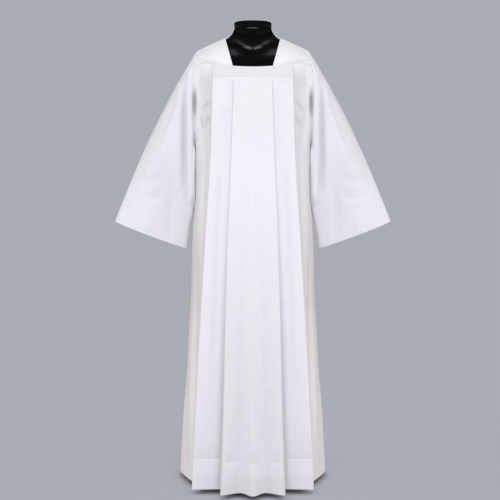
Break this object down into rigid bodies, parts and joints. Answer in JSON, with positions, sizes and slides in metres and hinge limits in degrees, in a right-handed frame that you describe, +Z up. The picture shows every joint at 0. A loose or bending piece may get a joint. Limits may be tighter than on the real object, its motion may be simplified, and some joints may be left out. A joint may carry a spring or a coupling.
{
  "type": "alb robe on a limbless dress form",
  "caption": "White square-neck alb with a yoke, pleated front and back and wide bell sleeves, on a black limbless dress form with a hidden round-based stand.",
  "frame": {"origin": "on the floor, under the middle of the model", "axes": "+Z up along the robe's length, -Y out of the robe's front, +X to the wearer's left"},
  "size_m": [0.9066, 0.4018, 1.524],
  "materials": {
    "white_cloth": "matt plain weave",
    "side_cloth": "matt plain weave",
    "form_black": "gloss",
    "stand_metal": "brushed"
  },
  "bodies": {
    "root": {"front_yoke": "white_cloth", "back_yoke": "white_cloth", "front_panel": "white_cloth", "back_panel": "white_cloth", "shoulder_left": "white_cloth", "shoulder_right": "white_cloth", "sleeve_left": "white_cloth", "sleeve_right": "white_cloth", "side_front_left": "side_cloth", "side_front_right": "side_cloth", "side_back_left": "side_cloth", "side_back_right": "side_cloth", "form_torso": "form_black", "form_neck_cap": "form_black", "stand_collar": "stand_metal", "stand_pole": "stand_metal", "stand_socket": "stand_metal", "stand_base": "stand_metal"}
  },
  "joints": []
}
